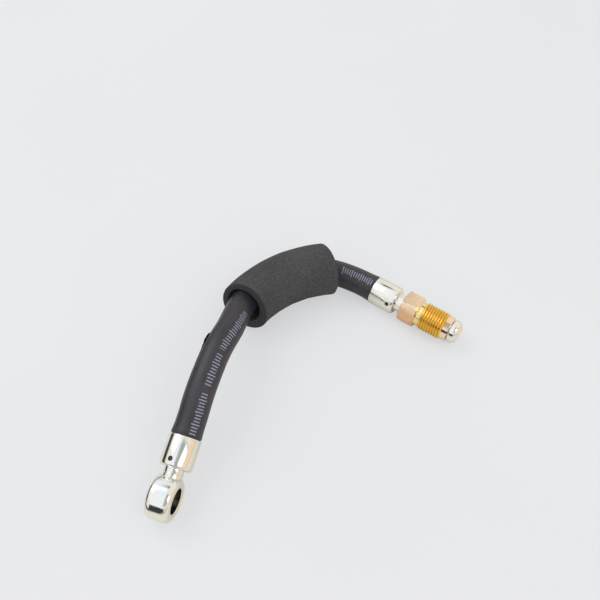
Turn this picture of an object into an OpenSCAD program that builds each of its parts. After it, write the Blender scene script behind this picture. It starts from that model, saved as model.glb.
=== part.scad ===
// Hydraulic hose assembly: a banjo eye at one end, a male union nut at the other,
// crimped ferrules on both and a loose foam sleeve over the bend.
// Millimetres, +Z up. The origin is the centre of the banjo bore, X is the bore's axis
// and Y the way in which the hose leaves the eye. The part lies on z = -banjo_eye_d / 2.

/* [Banjo eye] */
// Bore for the hollow bolt
banjo_bore_d = 12.1; // [10:0.1:14.1]
// Outside diameter of the eye
banjo_eye_d = 21; // [20:0.5:24]
// Width over the two sealing faces
banjo_w = 12; // [10:0.5:13]
// Rounding between each sealing face and the rim
rim_round = 2; // [0.8:0.1:2.2]
// Countersink at both ends of the bore
banjo_countersink = 0.4; // [0.2:0.1:0.8]
// Height of the boss above the rim
boss_h = 0.6; // [0.3:0.1:2]
// Angle at which the hose rises from the eye
banjo_rise = 16; // [12:1:20]

/* [Stems] */
// Outside diameter of both necks
neck_d = 9.8; // [9:0.1:9.9]
// Drilling through both stems
stem_bore_d = 5; // [3:0.1:5.4]
// Neck that shows between the boss and its ferrule
banjo_neck_len = 2.7; // [2:0.1:5]
// Neck that shows between the other ferrule and the nut
union_neck_len = 4; // [3:0.1:8]
// Collar between the ferrule's lip and the end of the hose
collar_len = 1.4; // [0.8:0.1:2]
// Number of barbs on each stem
barbs = 5; // [3:1:7]
// Height of one barb
barb_h = 0.4; // [0.2:0.05:0.6]
// Diameter of the spigot that is brazed into the boss
spigot_d = 7.2; // [6.6:0.1:8]
// Depth of that spigot
spigot_len = 2.2; // [1.5:0.1:3]

/* [Ferrules] */
// Share of the hose's wall that is left under the crimp
crimp_share = 0.896; // [0.85:0.001:0.95]
// Length
ferrule_len = 15.1; // [13:0.1:20]
// Wall thickness
ferrule_wall = 1; // [0.7:0.1:1.2]
// Thickness of the lip at the closed end
lip_t = 1.2; // [0.8:0.1:1.6]
// How deep the lip grips the groove in the neck
lip_grip = 0.5; // [0.2:0.05:0.8]
// Rounding of the closed end
ferrule_round = 1.5; // [0.6:0.1:2]
// Inspection hole
sight_hole_d = 2.4; // [1.5:0.1:3]
// Distance of the inspection hole from the closed end
sight_hole_at = 3.6; // [3:0.1:6]

/* [Union nut] */
// Major diameter of the thread
thread_d = 16; // [15:0.1:18]
// Length of the thread
thread_len = 13.7; // [8:0.1:20]
// Hexagon across flats
hex_af = 17; // [16:0.5:22]
// Length of the hexagon
hex_len = 9.6; // [5:0.1:12]
// Relief between the hexagon and the thread
relief_d = 14; // [13:0.1:14.6]
// Length of the relief
relief_len = 2.4; // [2:0.1:6]
// Plain pilot ahead of the thread
pilot_d = 14.1; // [13:0.1:14.8]
// Length of the pilot
pilot_len = 3.6; // [2:0.1:6]
// Gap between the nut and the shoulder of the nose
nut_play = 0.5; // [0.3:0.1:1]
// Radial running clearance between the nut and the neck
nut_clearance = 0.05; // [0.02:0.01:0.1]

/* [Nose] */
// Diameter of the nose's collar
nose_d = 13; // [12:0.1:14]
// Length of the nose
nose_len = 4.5; // [4:0.1:7]
// Length of the nose's straight collar
nose_collar_len = 1.8; // [1:0.1:3]
// Diameter of the front of the nose
nose_tip_d = 10.4; // [9.5:0.1:11.5]
// Mouth of the drilling at the front
nose_mouth_d = 8; // [6.5:0.1:8.6]

/* [Hose] */
// Outside diameter of the hose
hose_d = 14.7; // [14.4:0.1:15.4]
// Bore of the hose
hose_bore_d = 8; // [7.4:0.1:8.4]
// Thickness of the liner
liner_t = 1.1; // [0.8:0.05:1.2]
// Thickness of each textile braid
braid_t = 0.5; // [0.3:0.05:0.5]
// Thickness of the tie layer between the braids
tie_t = 0.3; // [0.2:0.05:0.3]
// How far the hose bulges at the mouth of a ferrule
mouth_bulge = 0.35; // [0.1:0.05:0.5]

/* [Foam sleeve] */
// Wall thickness
sleeve_t = 4.4; // [3:0.1:4.5]
// How much wider its bore is than the hose
sleeve_slack = 5.6; // [5.4:0.1:6]
// Angle of the bend that the sleeve covers
sleeve_arc = 48; // [36:1:50]

/* [Hidden] */
$fn = 96;
eps = 0.01;

// Seats
seat_gap = 0.03;            // between the lip and the groove it grips
layer_gap = 0.04;           // between neighbouring layers of the hose
eye_r = banjo_eye_d / 2;
bore_r = banjo_bore_d / 2;
neck_r = neck_d / 2;
stem_r = stem_bore_d / 2;
groove_r = neck_r - lip_grip;
bore_hr = hose_bore_d / 2;
hose_r = hose_d / 2;
crimp_r = bore_hr + (hose_r - bore_hr) * crimp_share;
ferrule_r = crimp_r + ferrule_wall;
mouth_chamfer = ferrule_wall * 0.4;
spigot_r = spigot_d / 2;
joint_chamfer = 0.4;        // on both sides of the brazed joint
tail_chamfer = 0.5;         // lead-in on the free end of each barbed tail
tail_gap = 0.6;             // from that end to the mouth of the ferrule
barb_r = bore_hr - 0.01;
barb_step = 0.3;            // share of a barb's pitch up to its crest

// Distances along the banjo stem, from the centre of the bore
boss_top = eye_r + boss_h;
banjo_crimp = boss_top + banjo_neck_len;         // closed end of the ferrule
banjo_mouth = banjo_crimp + ferrule_len;
banjo_sight_turn = -100;    // where its inspection hole points, round the stem

// Distances along the union stem, from the mouth of its ferrule
nut_at = ferrule_len + union_neck_len;
thread_at = nut_at + hex_len + relief_len;
nut_end = thread_at + thread_len + pilot_len;
nose_at = nut_end + nut_play;
nose_end = nose_at + nose_len;
union_sight_turn = 246;
hex_face = 0.96;            // round end face of the hexagon, as a share of its width
edge = 0.3;                 // broken edges of the nose
pilot_edge = 0.5;

// The part lies on the eye's rim and on one flat of the nut
union_mouth = [65, 147.5, hex_af / 2 - eye_r];
union_turn = -17.5;

// Hose
liner_r = bore_hr + liner_t;
inner_braid_r = liner_r + braid_t;
tie_r = inner_braid_r + tie_t;
outer_braid_r = tie_r + braid_t;
hose_sides = 12;
flat_fit = 1 / cos(180 / hose_sides);            // puts a polygon's flats on the circle
bulge_run = 0.3;
end_step = 10;              // spacing of the control points that run straight in a ferrule
spline_steps = 2;           // rings for each control point

// Control points of the hose between the two straight ends
hose_route = [
    [-0.5, 45.5, 13.5], [-0.5, 53.5, 16], [-0.5, 62.5, 17.5], [-0.5, 71.5, 18],
    [0, 79.5, 17.5], [0.5, 87.5, 15.5], [-0.5, 96, 12.5], [-1, 107.5, 9.5],
    [2.5, 122, 7.5], [12, 137, 6], [26.5, 147.5, 3.5], [41.5, 151.5, 0]
];

// The bend under the sleeve: centre, radius and tilt of its plane
bend_centre = [62.5, 90.5, 12.2];
bend_r = 65.5;
bend_tilt = 7;
bend_turn = 109;
sleeve_mid = 31;            // middle of the sleeve round the bend

rubber = [0.13, 0.13, 0.14];
silver = [0.80, 0.81, 0.80];
yellow_zinc = [0.85, 0.65, 0.25];
textile = [0.75, 0.72, 0.62];

// ---------- placing ----------

module along_banjo(from = 0) {
    rotate([banjo_rise - 90, 0, 0]) translate([0, 0, from]) children();
}

module along_union(from = 0) {
    translate(union_mouth) rotate([0, 0, union_turn]) rotate([0, 90, 0])
        translate([0, 0, from]) children();
}

// ---------- shared shapes ----------

// Half profile of one barbed tail, from its collar at z = 0 up to its free end
function barb_points(len) = [
    for (i = [0 : barbs - 1], step = [0, 1])
        let (pitch = (len - tail_chamfer) / barbs)
        [barb_r - (step == 0 ? 0 : barb_h), (i + (step == 0 ? barb_step : 1)) * pitch]
];

// Stem from the lip's groove to the barbed end. z = 0 is the closed end of the ferrule,
// and the barbs point to +z.
module barbed_stem() {
    tail_at = lip_t + collar_len;
    tail_len = ferrule_len - tail_at - tail_gap;
    rotate_extrude() polygon(concat(
        [
            [stem_r, -eps], [groove_r, -eps], [groove_r, lip_t + seat_gap],
            [neck_r, lip_t + seat_gap], [neck_r, tail_at - seat_gap],
            [bore_hr - barb_h, tail_at - seat_gap]
        ],
        [for (p = barb_points(tail_len)) [p[0], p[1] + tail_at]],
        [[bore_hr - barb_h, tail_at + tail_len], [stem_r, tail_at + tail_len]]
    ));
}

// Smooth ferrule: closed end at z = 0, mouth at z = ferrule_len
module ferrule(sight_turn) {
    difference() {
        rotate_extrude() difference() {
            union() {
                translate([0, ferrule_round]) square([ferrule_r, ferrule_len - ferrule_round]);
                square([ferrule_r - ferrule_round, ferrule_round + eps]);
                translate([ferrule_r - ferrule_round, ferrule_round]) circle(r = ferrule_round);
            }
            translate([-ferrule_r, -ferrule_r]) square([ferrule_r, 2 * ferrule_r]);
            translate([-eps, lip_t]) square([crimp_r + eps, ferrule_len]);
            translate([-eps, -eps]) square([groove_r + seat_gap + eps, ferrule_len]);
            translate([0, ferrule_len]) polygon([
                [0, eps], [crimp_r + mouth_chamfer + eps, eps], [crimp_r - eps, -mouth_chamfer - eps],
                [0, -mouth_chamfer - eps]
            ]);
        }
        translate([0, 0, sight_hole_at]) rotate([0, 90, sight_turn])
            translate([0, 0, crimp_r - ferrule_wall])
                cylinder(h = 3 * ferrule_wall, d = sight_hole_d);
    }
}

// ---------- hose ----------

banjo_dir = [0, cos(banjo_rise), sin(banjo_rise)];
union_dir = [cos(union_turn), sin(union_turn), 0];
banjo_end = banjo_dir * (banjo_crimp + lip_t + collar_len);
banjo_mouth_p = banjo_dir * banjo_mouth;
union_end = union_mouth + union_dir * (ferrule_len - lip_t - collar_len);

control = concat(
    [for (k = [-2 : 1]) banjo_mouth_p + banjo_dir * end_step * k],
    hose_route,
    [for (k = [-1 : 2]) union_mouth + union_dir * end_step * k]
);

// Uniform cubic B-spline through control point i towards the next one
function spline(i, t) = (pow(1 - t, 3) * control[i - 1]
    + (3 * pow(t, 3) - 6 * pow(t, 2) + 4) * control[i]
    + (-3 * pow(t, 3) + 3 * pow(t, 2) + 3 * t + 1) * control[i + 1]
    + pow(t, 3) * control[i + 2]) / 6;

free_run = [
    for (i = [2 : len(control) - 4], k = [0 : spline_steps - 1])
        if (i > 2 || k > 0) spline(i, k / spline_steps)
];

spine = concat(
    [banjo_end, banjo_mouth_p, banjo_mouth_p + banjo_dir * bulge_run],
    free_run,
    [union_mouth - union_dir * bulge_run, union_mouth, union_end]
);

// How much of its free wall the hose keeps at each ring
bulged = (hose_r + mouth_bulge - bore_hr) / (hose_r - bore_hr);
function wall_share(i) = let (last = len(spine) - 1, k = min(i, last - i))
    k < 2 ? crimp_share : k == 2 ? bulged : 1;

function unit(v) = v / norm(v);
function heading(i) = i < 3 ? banjo_dir
    : i > len(spine) - 4 ? union_dir
    : unit(spine[i + 1] - spine[i - 1]);

function ring(i, r) = let (
        ahead = heading(i),
        side = unit(cross(ahead, [0, 0, 1])),
        lift = cross(side, ahead),
        ring_r = bore_hr * flat_fit + (r - bore_hr * flat_fit) * wall_share(i))
    [for (j = [0 : hose_sides - 1]) spine[i]
        + ring_r * (cos(360 * j / hose_sides) * side + sin(360 * j / hose_sides) * lift)];

// Two triangles between neighbouring points j of two rings that start at a and b
function band(a, b) = [
    for (j = [0 : hose_sides - 1], half = [0, 1])
        let (next = (j + 1) % hose_sides)
        half == 0 ? [a + j, b + j, b + next] : [a + j, b + next, a + next]
];

function flipped(faces) = [for (f = faces) [f[2], f[1], f[0]]];

// One layer of the hose: a tube swept along the spine
module hose_layer(inner_r, outer_r) {
    rings = len(spine);
    inside = rings * hose_sides;
    points = concat(
        [for (i = [0 : rings - 1]) each ring(i, outer_r)],
        [for (i = [0 : rings - 1]) each ring(i, inner_r)]
    );
    last = (rings - 1) * hose_sides;
    faces = concat(
        [for (i = [0 : rings - 2]) each band(i * hose_sides, (i + 1) * hose_sides)],
        [
            for (i = [0 : rings - 2])
                each flipped(band(inside + i * hose_sides, inside + (i + 1) * hose_sides))
        ],
        band(inside, 0),
        band(last, inside + last)
    );
    polyhedron(points = points, faces = faces, convexity = 6);
}

// ---------- pieces ----------

module banjo_eye() {
    color(silver) difference() {
        union() {
            rotate([0, 90, 0]) rotate_extrude() {
                translate([0, -banjo_w / 2]) square([eye_r - rim_round, banjo_w]);
                translate([0, rim_round - banjo_w / 2]) square([eye_r, banjo_w - 2 * rim_round]);
                for (side = [-1, 1])
                    translate([eye_r - rim_round, side * (banjo_w / 2 - rim_round)])
                        circle(r = rim_round);
            }
            along_banjo(bore_r) {
                cylinder(h = boss_top - bore_r - joint_chamfer, r = neck_r);
                translate([0, 0, boss_top - bore_r - joint_chamfer])
                    cylinder(h = joint_chamfer, r1 = neck_r, r2 = neck_r - joint_chamfer);
            }
        }
        rotate([0, 90, 0]) cylinder(h = banjo_w + 2, r = bore_r, center = true);
        for (side = [-1, 1]) rotate([0, 90 * side, 0])
            translate([0, 0, banjo_w / 2 - banjo_countersink])
                cylinder(h = banjo_countersink + eps, r1 = bore_r,
                    r2 = bore_r + banjo_countersink + eps);
        along_banjo() cylinder(h = boss_top + 1, r = stem_r);
        along_banjo(boss_top - spigot_len) cylinder(h = spigot_len + 1, r = spigot_r + seat_gap);
    }
}

module banjo_tail() {
    color(silver) {
        along_banjo(boss_top - spigot_len) difference() {
            union() {
                cylinder(h = spigot_len + eps, r = spigot_r);
                translate([0, 0, spigot_len])
                    cylinder(h = joint_chamfer, r1 = neck_r - joint_chamfer, r2 = neck_r);
                translate([0, 0, spigot_len + joint_chamfer - eps])
                    cylinder(h = banjo_neck_len - joint_chamfer - seat_gap + eps, r = neck_r);
            }
            translate([0, 0, -1]) cylinder(h = spigot_len + banjo_neck_len + 2, r = stem_r);
        }
        along_banjo(banjo_crimp) barbed_stem();
        along_banjo(banjo_crimp - seat_gap - eps) difference() {
            cylinder(h = seat_gap + 2 * eps, r = groove_r);
            translate([0, 0, -1]) cylinder(h = 3, r = stem_r);
        }
    }
}

module ferrule_banjo() {
    color(silver) along_banjo(banjo_crimp) ferrule(banjo_sight_turn);
}

module ferrule_union() {
    color(silver) along_union(ferrule_len) mirror([0, 0, 1]) ferrule(union_sight_turn);
}

module union_tail() {
    taper = (nose_d - nose_tip_d) / 2;
    nose_bend = [nose_d / 2 - taper / 4, (nose_collar_len + nose_len) / 2];
    mouth_depth = (nose_mouth_d - stem_bore_d) / 2;
    color(silver) {
        along_union(ferrule_len) mirror([0, 0, 1]) barbed_stem();
        along_union(ferrule_len - eps) difference() {
            union() {
                cylinder(h = seat_gap + 2 * eps, r = groove_r);
                translate([0, 0, seat_gap + eps])
                    cylinder(h = nose_at - ferrule_len, r = neck_r);
                translate([0, 0, nose_at - ferrule_len + eps]) rotate_extrude() polygon([
                    [0, 0], [nose_d / 2 - edge, 0], [nose_d / 2, edge],
                    [nose_d / 2, nose_collar_len], nose_bend,
                    [nose_tip_d / 2, nose_len - edge], [nose_tip_d / 2 - edge, nose_len],
                    [0, nose_len]
                ]);
            }
            translate([0, 0, -1]) cylinder(h = nose_end - ferrule_len + 3, r = stem_r);
            translate([0, 0, nose_end - ferrule_len + eps - mouth_depth])
                cylinder(h = mouth_depth + eps, r1 = stem_r, r2 = nose_mouth_d / 2 + eps);
        }
    }
}

module union_nut() {
    corner_r = hex_af / 2 / cos(30);
    hex_face_r = hex_af / 2 * hex_face;
    hex_bevel = (corner_r - hex_face_r) * tan(30);
    thread_r = thread_d / 2;
    thread_lead = thread_r - pilot_d / 2;
    thread_from = hex_len + relief_len;
    pilot_from = thread_from + thread_len;
    body_end = pilot_from + pilot_len;
    color(yellow_zinc) along_union(nut_at) difference() {
        union() {
            intersection() {
                rotate(30) cylinder(h = hex_len, r = corner_r, $fn = 6);
                rotate_extrude() polygon([
                    [0, 0], [hex_face_r, 0], [corner_r + eps, hex_bevel],
                    [corner_r + eps, hex_len - hex_bevel], [hex_face_r, hex_len], [0, hex_len]
                ]);
            }
            rotate_extrude() polygon([
                [0, hex_len - 1], [relief_d / 2, hex_len - 1],
                [relief_d / 2, thread_from - thread_lead], [thread_r, thread_from],
                [thread_r, pilot_from - thread_lead], [pilot_d / 2, pilot_from],
                [pilot_d / 2, body_end - pilot_edge], [pilot_d / 2 - pilot_edge, body_end],
                [0, body_end]
            ]);
        }
        translate([0, 0, -1]) cylinder(h = body_end + 2, r = neck_r + nut_clearance);
    }
}

module hose_liner() {
    color(rubber) hose_layer(bore_hr * flat_fit, liner_r * flat_fit);
}

module hose_inner_braid() {
    color(textile) hose_layer((liner_r + layer_gap) * flat_fit, inner_braid_r * flat_fit);
}

module hose_tie_layer() {
    color(rubber) hose_layer((inner_braid_r + layer_gap) * flat_fit, tie_r * flat_fit);
}

module hose_outer_braid() {
    color(textile) hose_layer((tie_r + layer_gap) * flat_fit, outer_braid_r * flat_fit);
}

module hose_cover() {
    color(rubber) hose_layer((outer_braid_r + layer_gap) * flat_fit, hose_r - seat_gap);
}

module foam_sleeve() {
    color([0.24, 0.24, 0.25]) translate(bend_centre) rotate([0, bend_tilt, bend_turn])
        rotate([0, 0, sleeve_mid - sleeve_arc / 2]) rotate_extrude(angle = sleeve_arc)
            translate([bend_r, 0]) difference() {
                circle(r = hose_r + sleeve_slack / 2 + sleeve_t);
                circle(r = hose_r + sleeve_slack / 2);
            }
}

banjo_eye();
banjo_tail();
ferrule_banjo();
hose_liner();
hose_inner_braid();
hose_tie_layer();
hose_outer_braid();
hose_cover();
foam_sleeve();
ferrule_union();
union_tail();
union_nut();
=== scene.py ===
import math

import bpy
from mathutils import Matrix, Vector, noise


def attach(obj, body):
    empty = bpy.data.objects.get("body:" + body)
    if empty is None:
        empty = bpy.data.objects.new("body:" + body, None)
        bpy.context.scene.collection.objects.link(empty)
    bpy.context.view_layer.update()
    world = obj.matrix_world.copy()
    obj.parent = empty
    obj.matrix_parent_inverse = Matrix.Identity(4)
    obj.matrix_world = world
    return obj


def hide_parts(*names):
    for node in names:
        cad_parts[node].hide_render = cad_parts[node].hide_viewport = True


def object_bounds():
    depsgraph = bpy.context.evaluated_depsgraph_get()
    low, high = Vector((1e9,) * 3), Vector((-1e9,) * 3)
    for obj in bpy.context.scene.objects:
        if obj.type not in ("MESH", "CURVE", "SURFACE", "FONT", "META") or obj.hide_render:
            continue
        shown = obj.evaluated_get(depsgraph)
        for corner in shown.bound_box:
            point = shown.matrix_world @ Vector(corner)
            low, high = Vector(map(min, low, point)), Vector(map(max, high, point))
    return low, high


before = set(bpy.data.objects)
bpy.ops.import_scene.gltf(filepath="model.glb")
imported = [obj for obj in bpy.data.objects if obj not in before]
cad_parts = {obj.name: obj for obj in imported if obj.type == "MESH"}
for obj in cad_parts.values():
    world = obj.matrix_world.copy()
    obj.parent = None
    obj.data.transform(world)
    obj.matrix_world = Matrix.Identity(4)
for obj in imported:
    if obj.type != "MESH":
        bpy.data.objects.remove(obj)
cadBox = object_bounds()
mm = 0.001


def newObject(name, data):
    made = bpy.data.objects.new(name, data)
    bpy.context.scene.collection.objects.link(made)
    return made


def rotation(degrees, axis, size=4):
    return Matrix.Rotation(math.radians(degrees), size, axis)


# camera: the view in the row frame, for a square picture
cameraSet = {
    "place": (88.9, -74.4, 294.5),  # mm
    "tilt": 35.5,                   # degrees up from straight down
    "turn": 17.3,
    "focal": 38.4,                  # mm
    "sensor": 36,
    "nearest": 10,
}


def addCamera():
    data = bpy.data.cameras.new("camera")
    data.lens = cameraSet["focal"]
    data.sensor_width = cameraSet["sensor"]
    data.clip_start = cameraSet["nearest"] * mm
    cam = newObject("camera", data)
    cam.location = Vector(cameraSet["place"]) * mm
    cam.rotation_euler = (math.radians(cameraSet["tilt"]), 0, math.radians(cameraSet["turn"]))
    bpy.context.scene.camera = cam


addCamera()
print("camera placed")


# the two ends of the line, as the solid model has them
lineSet = {
    "rise": 16,                     # how steeply the hose leaves the eye
    "bossTop": 11.1,                # along the banjo stem from the bore
    "banjoCrimp": 13.8,             # closed end of its ferrule
    "unionMouth": (65, 147.5, -2),  # mouth of the second ferrule
    "unionTurn": -17.5,
    "ferruleLength": 15.1,
    "hoseInset": 12.5,              # how far the hose reaches into each ferrule
    "neckRadius": 4.9,
    "stemBore": 2.5,
    "shoulder": [(0, 0.45), (0.1, 0.25), (0.4, 0)],     # edges of the brazed joint: inwards, back
}


def alongBanjo(distance):
    # +Z of a piece modelled upright becomes the axis of the banjo stem
    return rotation(lineSet["rise"] - 90, "X") @ Matrix.Translation((0, 0, distance * mm))


def alongUnion(distance, facing=1):
    # facing -1 turns the piece end for end
    place = Matrix.Translation(Vector(lineSet["unionMouth"]) * mm)
    slide = Matrix.Translation((0, 0, distance * facing * mm))
    return place @ rotation(lineSet["unionTurn"], "Z") @ rotation(90 * facing, "Y") @ slide


# hose route, with the same control points as the solid model, in mm
hoseSet = {
    "radius": 7.35,
    "wall": 0.676,          # of the rubber cover, over the braids
    "crimpRadius": 6.97,    # squeezed inside a ferrule
    "mouthBulge": 0.33,
    "bulgeRun": 3.5,
    "mouthEdge": 0.05,      # nearer to a mouth than this, the hose still counts as inside
    "sides": 64,
    "stepsPerPoint": 12,
    "leadStep": 10,         # between the straight control points at both ends
    "route": [
        (-0.5, 45.5, 13.5), (-0.5, 53.5, 16), (-0.5, 62.5, 17.5), (-0.5, 71.5, 18),
        (0, 79.5, 17.5), (0.5, 87.5, 15.5), (-0.5, 96, 12.5), (-1, 107.5, 9.5),
        (2.5, 122, 7.5), (12, 137, 6), (26.5, 147.5, 3.5), (41.5, 151.5, 0),
    ],
}


def hoseLine():
    banjoWay = alongBanjo(0).to_3x3() @ Vector((0, 0, 1))
    unionWay = alongUnion(0).to_3x3() @ Vector((0, 0, 1))
    banjoMouth = banjoWay * (lineSet["banjoCrimp"] + lineSet["ferruleLength"])
    unionMouth = Vector(lineSet["unionMouth"])
    lead, inset = hoseSet["leadStep"], lineSet["hoseInset"]
    control = [banjoMouth + banjoWay * lead * k for k in (-2, -1, 0, 1)]
    control += [Vector(point) for point in hoseSet["route"]]
    control += [unionMouth + unionWay * lead * k for k in (-1, 0, 1, 2)]
    line = [banjoMouth - banjoWay * inset, banjoMouth - banjoWay * inset / 2]
    for i in range(2, len(control) - 3):
        a, b, c, d = control[i - 1:i + 3]
        for k in range(hoseSet["stepsPerPoint"]):
            t = k / hoseSet["stepsPerPoint"]
            point = a * (1 - t) ** 3 + b * (3 * t ** 3 - 6 * t ** 2 + 4)
            line.append((point + c * (3 * t + 3 * t ** 2 - 3 * t ** 3 + 1) + d * t ** 3) / 6)
    return line + [unionMouth, unionMouth + unionWay * inset / 2, unionMouth + unionWay * inset]


def distancesAlong(line):
    # distance of each point from the mouth of the first ferrule, negative inside it
    total = [-lineSet["hoseInset"]]
    for a, b in zip(line, line[1:]):
        total.append(total[-1] + (b - a).length)
    return total


def ringFrames(line):
    # place, sideways and upward way of each ring: the sideways way stays level
    frames = []
    for i, point in enumerate(line):
        ahead = (line[min(i + 1, len(line) - 1)] - line[max(i - 1, 0)]).normalized()
        side = ahead.cross(Vector((0, 0, 1))).normalized()
        frames.append((point, side, side.cross(ahead)))
    return frames


def ringPoint(ringFrame, angle, reach):
    centre, side, lift = ringFrame
    return (centre + (side * math.cos(angle) + lift * math.sin(angle)) * reach) * mm


def tubeMesh(name, frames, outer, inner, sides, lengths):
    # closed tube with a wall, mapped round (0 to 1) and along (metres)
    angles = [2 * math.pi * j / sides for j in range(sides)]
    points = [ringPoint(ringFrame, angle, radii(ring, angle)) for radii in (outer, inner)
              for ring, ringFrame in enumerate(frames) for angle in angles]
    rings = len(frames)
    shift = rings * sides
    faces = []
    maps = []
    for i in range(rings - 1):
        for j in range(sides):
            k = (j + 1) % sides
            a, b = i * sides, (i + 1) * sides
            uv = [(j / sides, lengths[i]), (j / sides, lengths[i + 1]),
                  ((j + 1) / sides, lengths[i + 1]), ((j + 1) / sides, lengths[i])]
            quad = (a + j, b + j, b + k, a + k)
            faces += [quad, tuple(shift + corner for corner in quad[::-1])]
            maps += [uv, uv[::-1]]
    # both cut ends
    for i, way in ((0, 1), (rings - 1, -1)):
        for j in range(sides):
            k = (j + 1) % sides
            a = i * sides
            quad = [a + j, a + k, shift + a + k, shift + a + j]
            uv = [(j / sides, lengths[i]), ((j + 1) / sides, lengths[i]),
                  ((j + 1) / sides, lengths[i]), (j / sides, lengths[i])]
            faces.append(tuple(quad[::way]))
            maps.append(uv[::way])
    mesh = bpy.data.meshes.new(name)
    mesh.from_pydata(points, [], faces)
    layer = mesh.uv_layers.new(name="UVMap")
    for face, uv in zip(mesh.polygons, maps):
        for loop, (u, v) in zip(face.loop_indices, uv):
            layer.data[loop].uv = (u, v * mm)
    return newObject(name, mesh)


def onlySelect(obj):
    bpy.ops.object.select_all(action="DESELECT")
    obj.select_set(True)
    bpy.context.view_layer.objects.active = obj


def smoothed(obj, degrees=30):
    onlySelect(obj)
    bpy.ops.object.shade_smooth_by_angle(angle=math.radians(degrees))
    return obj


def makeHose():
    line = hoseLine()
    lengths = distancesAlong(line)
    freeLength = lengths[-1] - lineSet["hoseInset"]

    def outer(ring, angle):
        beyondMouth = min(lengths[ring], freeLength - lengths[ring])
        if beyondMouth < hoseSet["mouthEdge"]:
            return hoseSet["crimpRadius"]
        bulge = hoseSet["mouthBulge"] * math.exp(-(beyondMouth / hoseSet["bulgeRun"]) ** 2)
        return hoseSet["radius"] + bulge

    def inner(ring, angle):
        return outer(ring, angle) - hoseSet["wall"]

    hose = tubeMesh("hoseCover", ringFrames(line), outer, inner, hoseSet["sides"], lengths)
    smoothed(hose, 60)
    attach(hose, "hose")
    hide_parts("hose_cover")
    return hose


hoseCover = makeHose()


# blank tape wrapped round the outer flank of the hose
tapeSet = {
    "from": 13.0,       # mm from the mouth of the first ferrule
    "to": 52.0,
    "low": 232,         # degrees round the hose, 0 is level towards the inside of the bend
    "high": 152,
    "columns": 18,
    "thickness": 0.3,
    "lift": 0.03,       # above the rubber
    "edgeLift": 0.05,   # more than that at the free edge
    "wave": 7,          # degrees by which the free edge wanders at most
    "waveRate": 0.16,
    "looseAt": 48.0,    # where it has come loose
    "looseRun": 4.5,
    "looseLift": 0.7,
    "ripple": 0.5,      # unevenness of that lift
    "rippleRate": 0.6,
}


def makeTape():
    t = tapeSet
    columns = t["columns"]
    line = hoseLine()
    rows = []
    for ringFrame, length in zip(ringFrames(line), distancesAlong(line)):
        if not t["from"] <= length <= t["to"]:
            continue
        wander = noise.noise(Vector((length * t["waveRate"], 3.1, 0))) * t["wave"]
        loose = math.exp(-((length - t["looseAt"]) / t["looseRun"]) ** 2)
        ripple = t["ripple"] * noise.noise(Vector((length * t["rippleRate"], 9.7, 0)))
        peel = t["edgeLift"] + loose * (t["looseLift"] + ripple)
        row = []
        for k in range(columns + 1):
            share = k / columns
            angle = math.radians(t["low"] + (t["high"] + wander - t["low"]) * share)
            row.append(ringPoint(ringFrame, angle, hoseSet["radius"] + t["lift"] + peel * share ** 6))
        rows.append(row)
    wide = columns + 1
    faces = [(a + k, a + k + 1, a + k + wide + 1, a + k + wide)
             for a in range(0, wide * (len(rows) - 1), wide) for k in range(columns)]
    mesh = bpy.data.meshes.new("hoseTape")
    mesh.from_pydata([point for row in rows for point in row], [], faces)
    tape = newObject("hoseTape", mesh)
    onlySelect(tape)
    solid = tape.modifiers.new("thickness", "SOLIDIFY")
    solid.thickness = t["thickness"] * mm
    solid.offset = -1
    bpy.ops.object.modifier_apply(modifier="thickness")
    smoothed(tape, 40)
    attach(tape, "hose")
    return tape


hoseTape = makeTape()


# loose foam sleeve, swept round the bend
sleeveSet = {
    "centre": (62.5, 90.5, 12.2),   # mm, of the bend's own circle
    "tilt": 7,
    "turn": 109,
    "bendRadius": 65.5,
    "from": 6.2,                # degrees round that circle
    "to": 55,
    "outer": 14.4,
    "inner": 10.15,
    "sides": 120,
    "rings": 110,
    "edge": 0.55,               # rounding of the cut ends
    "innerEdge": 0.7,           # the same inside, as a share of that
    "lumps": 0.14,              # unevenness of the skin, and how fine it is round and along
    "lumpRates": (1.4, 0.09),
    "creases": 0.25,            # depth of the folds on the inner side of the bend
    "creaseRate": 0.55,
    "creaseSwirl": 2.2,
    "sag": 1.1,                 # how far the foam bellies out, and to which side
    "sagWay": -32,
    "slants": [(61, 2.5), (25, 5.0)],   # leaning side in degrees and lean in mm, at both ends
    "slantRun": 24,
    "slantRadius": 14.5,
    "pinch": 1.1,               # flattened on its outer flank towards the banjo end
    "pinchWay": 151,
    "pinchRun": 34,
}


def slantEnds(sleeve, frames, lengths):
    # the cuts aren't square: each end leans towards one side, and the lean fades along the sleeve
    s = sleeveSet
    count = len(frames) * s["sides"]
    for v in sleeve.data.vertices:
        ring = v.index % count // s["sides"]
        centre, side, lift = frames[ring]
        ahead = lift.cross(side)
        spot = v.co / mm - centre
        for (way, lean), reach in zip(s["slants"], (lengths[ring], lengths[-1] - lengths[ring])):
            share = max(0, 1 - reach / s["slantRun"])
            turn = math.radians(way)
            out = (spot.dot(side) * math.cos(turn) + spot.dot(lift) * math.sin(turn)) / s["slantRadius"]
            v.co += ahead * (out * lean * share * mm)


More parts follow.
